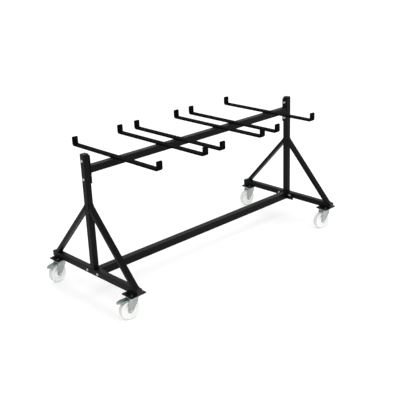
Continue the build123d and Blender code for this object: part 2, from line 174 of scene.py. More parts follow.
class Finish:
    """A procedural material on object coordinates."""

    def __init__(self, name, **constants):
        self.material = bpy.data.materials.new(name)
        self.material.use_nodes = True
        self.tree = self.material.node_tree
        self.shader = self.tree.nodes["Principled BSDF"]
        for socket, value in constants.items():
            self.shader.inputs[socket.replace("_", " ")].default_value = value
        self.place = self.node("ShaderNodeTexCoord").outputs["Object"]

    def node(self, kind, settings=None, inputs=None):
        """A node of any type: its settings are made first, then its sockets' values or links."""
        made = self.tree.nodes.new(kind)
        for name, value in (settings or {}).items():
            setattr(made, name, value)
        for name, value in (inputs or {}).items():
            self.feed(made.inputs[name], value)
        return made

    def feed(self, socket, value):
        """Links a tone or an output to a socket, or sets the socket's value."""
        if isinstance(value, Tone):
            value = value.socket
        if isinstance(value, bpy.types.NodeSocket):
            self.tree.links.new(value, socket)
        else:
            socket.default_value = value

    def noise(self, scale, detail=2.0, stretch=(1, 1, 1), seed=0.0):
        """Noise of so many cells to the metre, drawn out along an axis where stretch is below 1."""
        spot = self.node("ShaderNodeMapping", None,
                         {"Vector": self.place, "Location": (seed, seed, seed), "Scale": stretch})
        made = self.node("ShaderNodeTexNoise", None,
                         {"Vector": spot.outputs[0], "Scale": scale, "Detail": detail})
        return Tone(self, made.outputs["Fac"])

    def between(self, tone, low, high):
        """The tone from low to high, mapped smoothly to 0 to 1."""
        made = self.node("ShaderNodeMapRange", {"interpolation_type": "SMOOTHSTEP"},
                         {"Value": tone, "From Min": low, "From Max": high})
        return Tone(self, made.outputs[0])

    def blend(self, mask, below, above):
        """Colour that goes from below to above with the mask."""
        opaque = [(*c, 1.0) if isinstance(c, tuple) else c for c in (below, above)]
        made = self.node("ShaderNodeMix", {"data_type": "RGBA"}, {0: mask, 6: opaque[0], 7: opaque[1]})
        return made.outputs[2]

    def bump(self, height, depth, strength):
        """Dents and grain: height from 0 to 1 stands for depth in metres."""
        made = self.node("ShaderNodeBump", None,
                         {"Height": height, "Distance": depth, "Strength": strength})
        self.feed(self.shader.inputs["Normal"], made.outputs[0])

    def paint(self, socket, value):
        """Feeds one of the shader's sockets."""
        self.feed(self.shader.inputs[socket], value)


def shade(colour, factor):
    """The colour made darker or lighter."""
    return tuple(min(1.0, channel * factor) for channel in colour)


def powder_coat():
    """Fine-textured satin powder coat."""
    finish = Finish("powder_coat", Specular_IOR_Level=0.075)
    grain = finish.noise(1100, 2.0)
    flow = finish.noise(9, 3.0, seed=3.0)
    colour = tuple(colours().coat)
    finish.paint("Base Color", finish.blend(flow, shade(colour, 0.7), shade(colour, 1.5)))
    finish.paint("Roughness", 0.33 + 0.10 * flow + 0.08 * grain)
    finish.bump(grain * 0.7 + flow * 0.3, 0.05 * MM, 0.5)
    return finish.material


def arm_coat():
    """Flat black coat with a dry, fine texture."""
    finish = Finish("arm_coat", Specular_IOR_Level=0.022)
    grain = finish.noise(900, 3.0)
    flow = finish.noise(14, 3.0, seed=6.0)
    colour = tuple(colours().arm)
    finish.paint("Base Color", finish.blend(flow, shade(colour, 0.7), shade(colour, 1.4)))
    finish.paint("Roughness", 0.62 + 0.14 * flow + 0.12 * grain)
    finish.bump(grain, 0.06 * MM, 0.5)
    return finish.material


def bead_coat():
    """The same coat over a weld, glossier where it has flowed off the ripples."""
    finish = Finish("bead_coat", Specular_IOR_Level=0.09)
    flow = finish.noise(160, 3.0)
    colour = tuple(colours().coat)
    finish.paint("Base Color", finish.blend(flow, shade(colour, 0.8), shade(colour, 1.7)))
    finish.paint("Roughness", 0.28 + 0.16 * flow)
    finish.bump(flow, 0.1 * MM, 0.5)
    return finish.material


def cap_plastic():
    """Moulded black plastic with a spark-eroded grain."""
    finish = Finish("cap_plastic", Specular_IOR_Level=0.16)
    grain = finish.noise(700, 4.0)
    colour = tuple(colours().cap)
    finish.paint("Base Color", finish.blend(grain, shade(colour, 0.8), shade(colour, 1.4)))
    finish.paint("Roughness", 0.42 + 0.12 * grain)
    finish.bump(grain, 0.08 * MM, 0.6)
    return finish.material


def plated_bolt(name, colour):
    """Zinc plate over rolled and turned steel."""
    finish = Finish(name, Metallic=1.0)
    cloud = finish.noise(140, 4.0)
    grain = finish.noise(1600, 2.0, seed=5.0)
    finish.paint("Base Color", finish.blend(cloud, shade(colour, 0.78), shade(colour, 1.12)))
    finish.paint("Roughness", 0.24 + 0.16 * cloud + 0.05 * grain)
    finish.bump(grain * 0.5 + cloud * 0.5, 0.03 * MM, 0.6)
    return finish.material


def bolt_zinc():
    """Bright zinc on the frame's bolts and the axles."""
    return plated_bolt("bolt_zinc", tuple(colours().bolt))


def dark_zinc():
    """Darkened zinc on the castors' bolts."""
    return plated_bolt("dark_zinc", tuple(colours().dark_bolt))


def plated_pressing(name, colour, depth):
    """Passivated zinc on pressed steel, cloudy where the bath drained, by a contrast of depth."""
    finish = Finish(name, Metallic=1.0)
    cloud = finish.noise(38, 4.0, stretch=(1, 1, 0.5))
    streak = finish.noise(420, 3.0, stretch=(1, 1, 0.12), seed=2.0)
    cool = (colour[0] * (1 - depth), colour[1] * (1 - 0.6 * depth), colour[2] * (1 - 0.6 * depth))
    warm = (colour[0] * (1 + 1.6 * depth), colour[1] * (1 + depth), colour[2] * (1 + 0.7 * depth))
    finish.paint("Base Color", finish.blend(finish.between(cloud, 0.3, 0.7), cool, warm))
    finish.paint("Roughness", 0.30 + 0.14 * cloud + 0.08 * streak)
    finish.bump(streak * 0.5 + cloud * 0.5, 0.06 * MM, 0.5)
    return finish.material


def pressed_zinc():
    """Blue passivated zinc on the castors' plates and forks."""
    return plated_pressing("pressed_zinc", tuple(colours().castor), 0.14)


def pedal_zinc():
    """Greener, more clouded zinc on the brake pedals."""
    return plated_pressing("pedal_zinc", tuple(colours().pedal), 0.30)


def bright_steel():
    """Ground bearing steel."""
    finish = Finish("bright_steel", Metallic=1.0)
    turned = finish.noise(900, 2.0, stretch=(0.2, 0.2, 1))
    finish.paint("Base Color", finish.blend(turned, (0.50, 0.50, 0.50), (0.66, 0.66, 0.67)))
    finish.paint("Roughness", 0.16 + 0.14 * turned)
    finish.bump(turned, 0.01 * MM, 0.5)
    return finish.material


def cast_nylon():
    """Off-white cast nylon, duller round the tread where it has rolled, and greyer there with painted
    shade along the wheel's outline, mixed with rolling wear.
    """
    finish = Finish("cast_nylon", Specular_IOR_Level=0.4)
    cloud = finish.noise(28, 3.0)
    grain = finish.noise(520, 3.0, seed=4.0)
    marked = finish.node("ShaderNodeAttribute", {"attribute_name": "tread"})
    tread = Tone(finish, marked.outputs["Fac"])
    colour = tuple(colours().nylon)
    clean = finish.blend(cloud, shade(colour, 0.96), shade(colour, 1.03))
    # grey on the tread (shade(colour, 0.68)): painted shade along the wheel's outline and tread edges,
    # mixed with rolling wear; the added roughness is the wear
    tread_shade_and_wear = finish.between(tread + 0.3 * cloud + 0.15 * grain, 0.45, 1.15)
    finish.paint("Base Color", finish.blend(tread_shade_and_wear, clean, shade(colour, 0.68)))
    finish.paint("Roughness", 0.34 + 0.10 * cloud + 0.10 * grain + 0.12 * tread_shade_and_wear)
    finish.bump(grain, 0.05 * MM, 0.5)
    return finish.material


def shoe_rubber():
    """Black moulded rubber."""
    finish = Finish("shoe_rubber", Specular_IOR_Level=0.3)
    grain = finish.noise(600, 4.0)
    finish.paint("Base Color", finish.blend(grain, (0.012, 0.012, 0.012), (0.03, 0.03, 0.03)))
    finish.paint("Roughness", 0.62 + 0.2 * grain)
    finish.bump(grain, 0.1 * MM, 0.6)
    return finish.material


FLOOR_GLOW = 0.12


def studio_floor():
    """Plain pale floor."""
    finish = Finish("studio_floor", Specular_IOR_Level=0.0, Roughness=0.9,
                    Emission_Color=(1, 1, 1, 1), Emission_Strength=FLOOR_GLOW)
    wash = finish.noise(0.6, 2.0)
    colour = tuple(colours().floor)
    finish.paint("Base Color", finish.blend(wash, shade(colour, 0.995), colour))
    return finish.material


MAKERS = (powder_coat, arm_coat, bead_coat, cap_plastic, bolt_zinc, dark_zinc, pressed_zinc,
          pedal_zinc, bright_steel, cast_nylon, shoe_rubber, studio_floor)
FINISHES = {}


def finish_named(name):
    """The material of that name, made on first use."""
    if name not in FINISHES:
        FINISHES[name] = {maker.__name__: maker for maker in MAKERS}[name]()
    return FINISHES[name]


def coat(nodes, name):
    """Gives CAD nodes one of the finishes."""
    for node in nodes:
        slots = frame["nodes"][node].material_slots
        for slot in slots:
            slot.link = "DATA"
            slot.material = finish_named(name)


# ---- measuring the frame ----

FLATNESS = 0.05 * MM        # how near a face's plane a vertex of that face lies
SAME_POINT = 0.005 * MM     # how near two loose corners are that were one


def corners_of(node):
    """Every vertex of a CAD node."""
    return [vertex.co.copy() for vertex in frame["nodes"][node].data.vertices]


def end_face(node, axis, side):
    """(low, high) corner of the flat end of a node that faces along an axis, side -1 or 1."""
    points = corners_of(node)
    limit = side * max(side * point[axis] for point in points)
    flat = [point for point in points if abs(point[axis] - limit) < FLATNESS]
    low = Vector([min(point[i] for point in flat) for i in range(3)])
    high = Vector([max(point[i] for point in flat) for i in range(3)])
    return low, high


def solids_of(node):
    """(low, high) corner of each separate solid of a CAD node, in order of their places."""
    shape = bmesh.new()
    shape.from_mesh(frame["nodes"][node].data)
    bmesh.ops.remove_doubles(shape, verts=shape.verts, dist=SAME_POINT)
    left = set(shape.verts)
    boxes = []
    while left:
        front = [left.pop()]
        found = list(front)
        while front:
            vertex = front.pop()
            for edge in vertex.link_edges:
                other = edge.other_vert(vertex)
                if other in left:
                    left.remove(other)
                    front.append(other)
                    found.append(other)
        low = Vector([min(v.co[i] for v in found) for i in range(3)])
        high = Vector([max(v.co[i] for v in found) for i in range(3)])
        boxes.append((low, high))
    shape.free()
    return sorted(boxes, key=lambda box: [round(place / MM) for place in box[0]])


def reach(node, point, direction):
    """How far a node goes from a point along a direction."""
    return max((vertex - point).dot(direction) for vertex in corners_of(node))


def joint_place(name):
    """(point, axis) of a joint."""
    joint = JOINTS[name]
    return Vector(joint["pos_m"]), Vector(joint["axis"]).normalized()


# ---- making pieces ----

CRISP = 35      # degrees between two faces, past which their edge stays sharp
SOFT = 50       # the same for beads and wheels, whose steps are larger


def new_piece(name, shape, material):
    """Object at the origin from a bmesh, in one of the finishes."""
    mesh = bpy.data.meshes.new(name)
    shape.to_mesh(mesh)
    shape.free()
    mesh.materials.append(finish_named(material))
    piece = bpy.data.objects.new(name, mesh)
    bpy.context.scene.collection.objects.link(piece)
    return piece


def shade_smooth(piece, angle=CRISP):
    """Smooth faces that meet at less than the angle; sharper edges stay crisp."""
    mesh = piece.data
    mesh.polygons.foreach_set("use_smooth", [True] * len(mesh.polygons))
    shape = bmesh.new()
    shape.from_mesh(mesh)
    for edge in shape.edges:
        turned = len(edge.link_faces) == 2 and edge.calc_face_angle(0) > math.radians(angle)
        edge.smooth = not turned
    shape.to_mesh(mesh)
    shape.free()


def ring(shape, points):
    """A ring of new vertices."""
    return [shape.verts.new(point) for point in points]


def skin(shape, lower, upper):
    """Faces between two rings of the same length."""
    count = len(lower)
    for i in range(count):
        shape.faces.new((lower[i], lower[(i + 1) % count], upper[(i + 1) % count], upper[i]))


def stack(shape, rings):
    """Closed body of one ring on the next, with both ends filled."""
    made = [ring(shape, points) for points in rings]
    for lower, upper in zip(made, made[1:]):
        skin(shape, lower, upper)
    shape.faces.new(list(reversed(made[0])))
    shape.faces.new(made[-1])


def circle(radius, height, count):
    """Points round the z axis."""
    turns = [2 * math.pi * i / count for i in range(count)]
    return [Vector((radius * math.cos(turn), radius * math.sin(turn), height)) for turn in turns]


def hexagon(flats, height, count, cone=None):
    """Points round a hexagon; cone=(radius, slope) drops them where the corners are chamfered off."""
    points = []
    for i in range(count):
        turn = 2 * math.pi * i / count
        inside = (turn + math.pi / 6) % (math.pi / 3) - math.pi / 6
        radius = flats / 2 / math.cos(inside)
        drop = 0.0
        if cone:
            drop = max(0.0, radius - cone[0]) * cone[1]
        points.append(Vector((radius * math.cos(turn), radius * math.sin(turn), height - drop)))
    return points


ROUND = 36                  # points round a bolt or a nut
SHOWN_THREAD = 13 * MM
CHAMFER_SLOPE = math.tan(math.radians(30))
CHAMFER_FLAT = 0.95         # width of the flat inside the chamfer, against the flats
DISH_FOOT, DISH_RIM = 0.62, 0.70    # width of the dish in a head, against the flats
HEX_FOOT = 1.01             # width where a hexagon meets its collar, against the flats
THREAD_DEPTH = 0.6          # depth of a thread against its pitch
THREAD_CREST = (0.4, 0.6)   # where along a pitch the crest starts and ends
SOFT_EDGE = 0.4 * MM
NUT_CLEARANCE = 0.1 * MM


def hex_rings(flats, base, top):
    """Rings of a hexagon chamfered at its top, from its base to the flat on top."""
    bevel = flats / 2 * CHAMFER_FLAT
    return [
        hexagon(flats, base, ROUND),
        hexagon(flats, top, ROUND, cone=(bevel, CHAMFER_SLOPE)),
        circle(bevel, top, ROUND),
    ]


def thread_rings(radius, pitch, start, end):
    """Rings of a threaded end: crests and roots, then a chamfered tip."""
    rings = []
    height = start
    depth = THREAD_DEPTH * pitch
    while height + pitch < end - depth:
        rings.append(circle(radius - depth, height, ROUND))
        for crest in THREAD_CREST:
            rings.append(circle(radius, height + pitch * crest, ROUND))
        height += pitch
    rings.append(circle(radius - depth, height, ROUND))
    rings.append(circle(radius, height + depth, ROUND))
    rings.append(circle(radius, end - depth, ROUND))
    rings.append(circle(radius - depth, end, ROUND))
    return rings


def bolt_shape(length, seen, scale=1.0):
    """Flanged hexagon bolt: seat at z 0, head below it, shank along +z with seen of thread showing."""
    s = sizes()
    shape = bmesh.new()
    flats, collar, thick = s.flats * scale, s.collar * scale, s.collar_thick * scale
    total = (s.collar_thick + s.head) * scale
    soft = SOFT_EDGE * scale
    rings = [
        circle(flats / 2 * DISH_FOOT, -total + soft, ROUND),
        circle(flats / 2 * DISH_RIM, -total, ROUND),
    ]
    head = [
        [Vector((p.x, p.y, -total - p.z)) for p in r]
        for r in hex_rings(flats, -s.head * scale, 0.0)
    ]
    rings += list(reversed(head))
    rings += [
        hexagon(flats * HEX_FOOT, -thick - soft, ROUND),
        circle(collar - soft, -thick, ROUND),
        circle(collar, -thick + soft, ROUND),
        circle(collar, -soft / 2, ROUND),
        circle(collar - soft / 2, 0.0, ROUND),
        circle(s.thread * scale, 0.0, ROUND),
    ]
    rings += thread_rings(s.thread * scale, s.pitch * scale, length - seen, length)
    stack(shape, rings)
    return shape


def nut_shape(scale=1.0):
    """Flanged hexagon nut: seat at z 0, body along +z, bored through."""
    s = sizes()
    shape = bmesh.new()
    flats, collar, thick = s.flats * scale, s.collar * scale, s.collar_thick * scale
    top = (s.collar_thick + s.nut) * scale
    bore = (s.thread + NUT_CLEARANCE) * scale
    soft = SOFT_EDGE * scale
    outside = [
        circle(bore + soft, 0.0, ROUND),
        circle(collar - soft / 2, 0.0, ROUND),
        circle(collar, soft / 2, ROUND),
        circle(collar, thick - soft, ROUND),
        circle(collar - soft, thick, ROUND),
        hexagon(flats * HEX_FOOT, thick + soft, ROUND),
    ]
    outside += hex_rings(flats, thick + 2 * soft, top)
    outside += [
        circle(bore + 1.5 * soft, top, ROUND),
        circle(bore, top - 1.5 * soft, ROUND),
        circle(bore, soft, ROUND),
    ]
    made = [ring(shape, points) for points in outside]
    for lower, upper in zip(made, made[1:] + made[:1]):
        skin(shape, lower, upper)
    return shape


CORNER_STEPS = 6
CROWN_STEPS = 7
PLUG_DEPTH, PLUG_TAPER = 15 * MM, 2 * MM
PLUG_WIDTH, PLUG_TIP = 0.86, 0.94       # width of a cap's plug against the tube, and of its tip
CAP_LIP = 0.42                          # height of a cap's straight lip against the whole cap


def rounded_square(width, corner, height):
    """Points round a square with rounded corners."""
    points = []
    for quarter in range(4):
        for step in range(CORNER_STEPS + 1):
            turn = math.pi / 2 * (quarter + step / CORNER_STEPS)
            centre = math.pi / 4 + math.pi / 2 * quarter
            across = (width / 2 - corner) * math.sqrt(2)
            points.append(Vector((
                across * math.cos(centre) + corner * math.cos(turn),
                across * math.sin(centre) + corner * math.sin(turn),
                height,
            )))
    return points


def cap_shape():
    """Tube cap: seat at z 0, rounded lip and low crowned top along +z, tapered plug below."""
    s = sizes()
    shape = bmesh.new()
    corner = TUBE_CORNER
    plug = TUBE * PLUG_WIDTH
    lip = s.cap_height * CAP_LIP
    rings = [
        rounded_square(plug * PLUG_TIP, corner, -PLUG_DEPTH),
        rounded_square(plug, corner, PLUG_TAPER - PLUG_DEPTH),
        rounded_square(plug, corner, 0.0),
        rounded_square(TUBE - 1.5 * SOFT_EDGE, corner, 0.0),
        rounded_square(TUBE, corner, SOFT_EDGE),
        rounded_square(TUBE, corner, lip),
    ]
    for step in range(1, CROWN_STEPS + 1):
        turn = step / CROWN_STEPS * math.pi / 2
        inset = TUBE * 0.45 * (1 - math.cos(turn)) ** 1.15
        height = lip + (s.cap_height - lip) * math.sin(turn) ** 0.8
        inner_corner = max(corner - inset * 0.2, corner * 0.5)
        rings.append(rounded_square(TUBE - inset * 1.1, inner_corner, height))
    stack(shape, rings)
    return shape


# ---- geometry node trees ----

def node_tree(name, inputs):
    """Empty geometry tree with a geometry input and output, and the named inputs."""
    tree = bpy.data.node_groups.new(name, "GeometryNodeTree")
    tree.interface.new_socket("Geometry", in_out="INPUT", socket_type="NodeSocketGeometry")
    for label, kind, default in inputs:
        socket = tree.interface.new_socket(label, in_out="INPUT", socket_type=kind)
        if default is not None:
            socket.default_value = default
    tree.interface.new_socket("Geometry", in_out="OUTPUT", socket_type="NodeSocketGeometry")
    return tree, tree.nodes.new("NodeGroupInput"), tree.nodes.new("NodeGroupOutput")


def grow(tree, kind, settings, inputs):
    """Adds a node, with its settings and then its values or links."""
    made = tree.nodes.new(kind)
    for name, value in settings.items():
        setattr(made, name, value)
    for name, value in inputs.items():
        if isinstance(value, bpy.types.NodeSocket):
            tree.links.new(value, made.inputs[name])
        else:
            made.inputs[name].default_value = value
    return made


def placing_tree():
    """Puts one pattern piece on every point, its z along the point's facing, turned by its spin."""
    name = "place_pieces"
    if name in bpy.data.node_groups:
        return bpy.data.node_groups[name]
    tree, source, result = node_tree(name, [
        ("Pattern", "NodeSocketObject", None),
        ("Finish", "NodeSocketMaterial", None),
    ])
    facing = grow(tree, "GeometryNodeInputNamedAttribute", {"data_type": "FLOAT_VECTOR"},
                  {"Name": "facing"})
    spin = grow(tree, "GeometryNodeInputNamedAttribute", {"data_type": "FLOAT"}, {"Name": "spin"})
    aim = grow(tree, "FunctionNodeAlignRotationToVector", {"axis": "Z"},
               {"Vector": facing.outputs["Attribute"]})
    twist = grow(tree, "FunctionNodeAxisAngleToRotation", {},
                 {"Axis": (0, 0, 1), "Angle": spin.outputs["Attribute"]})
    turn = grow(tree, "FunctionNodeRotateRotation", {"rotation_space": "LOCAL"},
                {"Rotation": aim.outputs[0], "Rotate By": twist.outputs[0]})
    pattern = grow(tree, "GeometryNodeObjectInfo", {}, {"Object": source.outputs["Pattern"]})
    placed = grow(tree, "GeometryNodeInstanceOnPoints", {}, {
        "Points": source.outputs["Geometry"],
        "Instance": pattern.outputs["Geometry"],
        "Rotation": turn.outputs[0],
    })
    solid = grow(tree, "GeometryNodeRealizeInstances", {}, {"Geometry": placed.outputs[0]})
    coated = grow(tree, "GeometryNodeSetMaterial", {},
                  {"Geometry": solid.outputs[0], "Material": source.outputs["Finish"]})
    tree.links.new(coated.outputs[0], result.inputs[0])
    return tree


RIPPLE_STEPS = 4.0      # steps along each ripple of a bead
BEAD_SIDES = 8
BEAD_BASE = 0.9         # thickness of a bead between its swells, against its radius
UNEVENNESS = 0.12       # how much it swells
WANDER_SCALE = 90.0     # cells of its unevenness to the metre
BEAD_SEED = 7.0


def bead_tree():
    """Lays a rippled bead along every path."""
    tree, source, result = node_tree("lay_beads", [
        ("Radius", "NodeSocketFloat", 3 * MM),
        ("Ripple", "NodeSocketFloat", 3 * MM),
        ("Unevenness", "NodeSocketFloat", UNEVENNESS),
        ("Seed", "NodeSocketFloat", 0.0),
        ("Finish", "NodeSocketMaterial", None),
    ])
    path = grow(tree, "GeometryNodeMeshToCurve", {}, {"Mesh": source.outputs["Geometry"]})
    stride = grow(tree, "ShaderNodeMath", {"operation": "DIVIDE"},
                  {0: source.outputs["Ripple"], 1: RIPPLE_STEPS})
    even = grow(tree, "GeometryNodeResampleCurve", {"mode": "LENGTH"},
                {"Curve": path.outputs[0], "Length": stride.outputs[0]})
    along = grow(tree, "GeometryNodeSplineParameter", {}, {})
    turns = grow(tree, "ShaderNodeMath", {"operation": "DIVIDE"},
                 {0: along.outputs["Length"], 1: source.outputs["Ripple"]})
    angle = grow(tree, "ShaderNodeMath", {"operation": "MULTIPLY"},
                 {0: turns.outputs[0], 1: 2 * math.pi})
    wave = grow(tree, "ShaderNodeMath", {"operation": "SINE"}, {0: angle.outputs[0]})
    place = grow(tree, "GeometryNodeInputPosition", {}, {})
    wander = grow(tree, "ShaderNodeTexNoise", {"noise_dimensions": "4D"},
                  {"Vector": place.outputs[0], "W": source.outputs["Seed"],
                   "Scale": WANDER_SCALE, "Detail": 1.0})
    rise = grow(tree, "ShaderNodeMath", {"operation": "ADD"},
                {0: wave.outputs[0], 1: wander.outputs[0]})
    swell = grow(tree, "ShaderNodeMath", {"operation": "MULTIPLY_ADD"},
                 {0: rise.outputs[0], 1: source.outputs["Unevenness"], 2: BEAD_BASE})
    thick = grow(tree, "ShaderNodeMath", {"operation": "MULTIPLY"},
                 {0: swell.outputs[0], 1: source.outputs["Radius"]})
    sized = grow(tree, "GeometryNodeSetCurveRadius", {}, {"Curve": even.outputs[0], "Radius": 1.0})
    section = grow(tree, "GeometryNodeCurvePrimitiveCircle", {"mode": "RADIUS"},
                   {"Resolution": BEAD_SIDES, "Radius": 1.0})
    bead = grow(tree, "GeometryNodeCurveToMesh", {}, {
        "Curve": sized.outputs[0],
        "Profile Curve": section.outputs[0],
        "Scale": thick.outputs[0],
        "Fill Caps": True,
    })
    solid = grow(tree, "GeometryNodeRealizeInstances", {}, {"Geometry": bead.outputs[0]})
    coated = grow(tree, "GeometryNodeSetMaterial", {},
                  {"Geometry": solid.outputs[0], "Material": source.outputs["Finish"]})
    tree.links.new(coated.outputs[0], result.inputs[0])
    return tree


def run_tree(name, mesh, tree, values):
    """Runs a geometry tree over a mesh and returns the result as a plain piece at the origin."""
    carrier = bpy.data.objects.new(name + "_carrier", mesh)
    bpy.context.scene.collection.objects.link(carrier)
    modifier = carrier.modifiers.new(name, "NODES")
    modifier.node_group = tree
    for item in tree.interface.items_tree:
        if item.item_type == "SOCKET" and item.in_out == "INPUT" and item.name in values:
            modifier[item.identifier] = values[item.name]
    bpy.context.view_layer.update()
    grown = bpy.data.meshes.new_from_object(
        carrier.evaluated_get(bpy.context.evaluated_depsgraph_get()))
    grown.name = name
    carrier.modifiers.remove(modifier)
    bpy.data.objects.remove(carrier)
    if not grown.polygons:
        raise RuntimeError(f"{name} came out empty")
    piece = bpy.data.objects.new(name, grown)
    bpy.context.scene.collection.objects.link(piece)
    return piece


def place_pieces(name, shape, spots, material):
    """Copies of one pattern shape at each (point, facing, spin), as one piece."""
    pattern = new_piece(name + "_pattern", shape, material)
    mesh = bpy.data.meshes.new(name + "_spots")
    mesh.from_pydata([point for point, facing, spin in spots], [], [])
    mesh.attributes.new("facing", "FLOAT_VECTOR", "POINT")
    mesh.attributes.new("spin", "FLOAT", "POINT")
    for i, (point, facing, spin) in enumerate(spots):
        mesh.attributes["facing"].data[i].vector = facing
        mesh.attributes["spin"].data[i].value = spin
    piece = run_tree(name, mesh, placing_tree(),
                     {"Pattern": pattern, "Finish": finish_named(material)})
    bpy.data.objects.remove(pattern)
    shade_smooth(piece)
    return piece


def hand_over(piece, body, slot, *replaced):
    """Hangs a piece on the empty of the body it rides on and hides the CAD nodes it stands for; slot
    is not used.
    """
    if replaced:
        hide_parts(*replaced)
    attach(piece, body)


# ---- operators ----

class RACK_OT_coat_frame(bpy.types.Operator):
    """Powder-coat the tubes, arms, flanges and pads"""
    bl_idname = "rack.coat_frame"
    bl_label = "Coat frame"

    def execute(self, context):
        coat(STEEL_TUBES + FLAT_STEEL, "powder_coat")
        coat(SADDLE_ARMS, "arm_coat")
        return {"FINISHED"}


class RACK_OT_plate_castors(bpy.types.Operator):
    """Zinc-plate the castors' pressings and finish their bearings and shoes"""
    bl_idname = "rack.plate_castors"
    bl_label = "Plate castors"

    def execute(self, context):
        pressings = ["ball_cups", "kingpins"]
        pressings += [f"{corner}_castor_plate" for corner in CORNERS]
        pressings += [f"{corner}_fork" for corner in CORNERS]
        coat(pressings, "pressed_zinc")
        coat([f"{corner}_brake_pedal" for corner in BRAKED], "pedal_zinc")
        turned = ["swivel_balls"] + [f"{corner}_axle_sleeve" for corner in CORNERS]
        turned += [f"{corner}_pedal_pin" for corner in BRAKED]
        coat(turned, "bright_steel")
        coat([f"{corner}_brake_shoe" for corner in BRAKED], "shoe_rubber")
        return {"FINISHED"}


class RACK_OT_weld_beads(bpy.types.Operator):
    """Lay the weld beads where tubes, arms and pads meet"""
    bl_idname = "rack.weld_beads"
    bl_label = "Lay weld beads"

    def execute(self, context):
        paths = []
        for end in ("near", "far"):
            paths.append(loop_round(f"{end}_post", 2, -1))
            for side, sign in (("left", 1), ("right", -1)):
                paths.append(loop_round(f"{end}_{side}_brace", 2, -1))
                paths.append(loop_round(f"{end}_{side}_brace", 1, -sign))
        for beam in ("top_beam", "bottom_rail"):
            paths.append(loop_round(beam, 0, -1))
            paths.append(loop_round(beam, 0, 1))
        for arm in SADDLE_ARMS:
            paths += arm_runs(arm)
        for corner in CORNERS:
            paths += pad_runs(corner)
        mesh = bpy.data.meshes.new("weld_paths")
        points, edges = [], []
        for path, closed in paths:
            first = len(points)
            points += path
            edges += [(first + i, first + i + 1) for i in range(len(path) - 1)]
            if closed:
                edges.append((len(points) - 1, first))
        mesh.from_pydata(points, edges, [])
        s = sizes()
        beads = run_tree("weld_beads", mesh, bead_tree(), {
            "Radius": s.bead, "Ripple": s.ripple, "Unevenness": UNEVENNESS, "Seed": BEAD_SEED,
            "Finish": finish_named("bead_coat"),
        })
        shade_smooth(beads, SOFT)
        hand_over(beads, "frame", "frame_paint")
        return {"FINISHED"}


LOOP_STEPS = 3          # steps round each corner of a weld
ARM_BEAD = 0.4          # how far a bead beside an arm goes from the middle, against the tube
BEAD_GAP = 3 * MM       # from the end of a pad's bead to the pad's edge


def loop_round(node, axis, side):
    """Closed path round a tube's end face, rounded at its corners."""
    low, high = end_face(node, axis, side)
    first, second = [i for i in range(3) if i != axis]
    corner = TUBE_CORNER
    points = []
    for quarter in range(4):
        for step in range(LOOP_STEPS + 1):
            turn = math.pi / 2 * (quarter + step / LOOP_STEPS)
            sign_1 = 1 if quarter in (0, 3) else -1
            sign_2 = 1 if quarter in (0, 1) else -1
            middle_1 = (high[first] - corner) if sign_1 > 0 else (low[first] + corner)
            middle_2 = (high[second] - corner) if sign_2 > 0 else (low[second] + corner)
            point = Vector((0, 0, 0))
            point[axis] = low[axis]
            point[first] = middle_1 + corner * math.cos(turn)
            point[second] = middle_2 + corner * math.sin(turn)
            points.append(point)
    return points, True


def arm_runs(arm):
    """Two short beads down the sides of an arm where it crosses the top beam."""
    low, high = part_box(arm)
    runs = []
    for x in (low.x, high.x):
        runs.append(([Vector((x, y, low.z)) for y in (-TUBE * ARM_BEAD, TUBE * ARM_BEAD)], False))
    return runs


def pad_runs(corner):
    """Beads along both sides of a base beam where it sits on a castor pad."""
    low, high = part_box(f"{corner}_pad")
    beam_low, beam_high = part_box(corner.split("_")[0] + "_base_beam")
    runs = []
    for x in (beam_low.x, beam_high.x):
        start = max(low.y, beam_low.y) + BEAD_GAP
        end = min(high.y, beam_high.y) - BEAD_GAP
        runs.append(([Vector((x, y, high.z)) for y in (start, end)], False))
    return runs


# turn of a group's first bolt or nut, and from each to the next, in radians
SPINS = {
    "top_flange": ((0.35, 1.9), (0.8, 1.3)),
    "rail_flange": ((0.35, 1.9), (0.8, 1.3)),
    "castor": ((0.2, 2.3), (0.5, 1.7)),
    "axle": ((0.4, 1.0), (0.9, 1.0)),
}


def seats(node, axis, inset, spin):
    """(seat, facing, spin) of each bolt or nut of a node, and the length from the last one's seat.

    Along the rack they face its middle, and upright ones face up. The seat is inset from the end
    that they start at.
    """
    spots = []
    for i, (low, high) in enumerate(solids_of(node)):
        seat = (low + high) / 2
        inward = -1 if axis == 0 and seat.x > MIDDLE_X else 1
        seat[axis] = (low if inward > 0 else high)[axis] + inward * inset
        facing = Vector((0, 0, 0))
        facing[axis] = inward
        spots.append((seat, facing, spin[0] + spin[1] * i))
    return spots, high[axis] - low[axis] - inset


def fasten(group, axis, zinc):
    """Bolts and nuts of a group, in place of their CAD nodes."""
    s = sizes()
    bolts, length = seats(f"{group}_bolts", axis, s.collar_thick + s.head, SPINS[group][0])
    nuts, _ = seats(f"{group}_nuts", axis, 0.0, SPINS[group][1])
    piece = place_pieces(f"{group}_bolt_set", bolt_shape(length, SHOWN_THREAD), bolts, zinc)
    hand_over(piece, "frame", "fastener_zinc", f"{group}_bolts")
    piece = place_pieces(f"{group}_nut_set", nut_shape(), nuts, zinc)
    hand_over(piece, "frame", "fastener_zinc", f"{group}_nuts")


class RACK_OT_frame_fasteners(bpy.types.Operator):
    """Bolts and nuts that hold the top beam and the rail to the end frames"""
    bl_idname = "rack.frame_fasteners"
    bl_label = "Fit frame bolts"

    def execute(self, context):
        fasten("top_flange", 0, "bolt_zinc")
        fasten("rail_flange", 0, "bolt_zinc")
        return {"FINISHED"}


class RACK_OT_castor_fasteners(bpy.types.Operator):
    """Bolts and nuts that hold the castors to their pads"""
    bl_idname = "rack.castor_fasteners"
    bl_label = "Fit castor bolts"

    def execute(self, context):
        fasten("castor", 2, "dark_zinc")
        return {"FINISHED"}


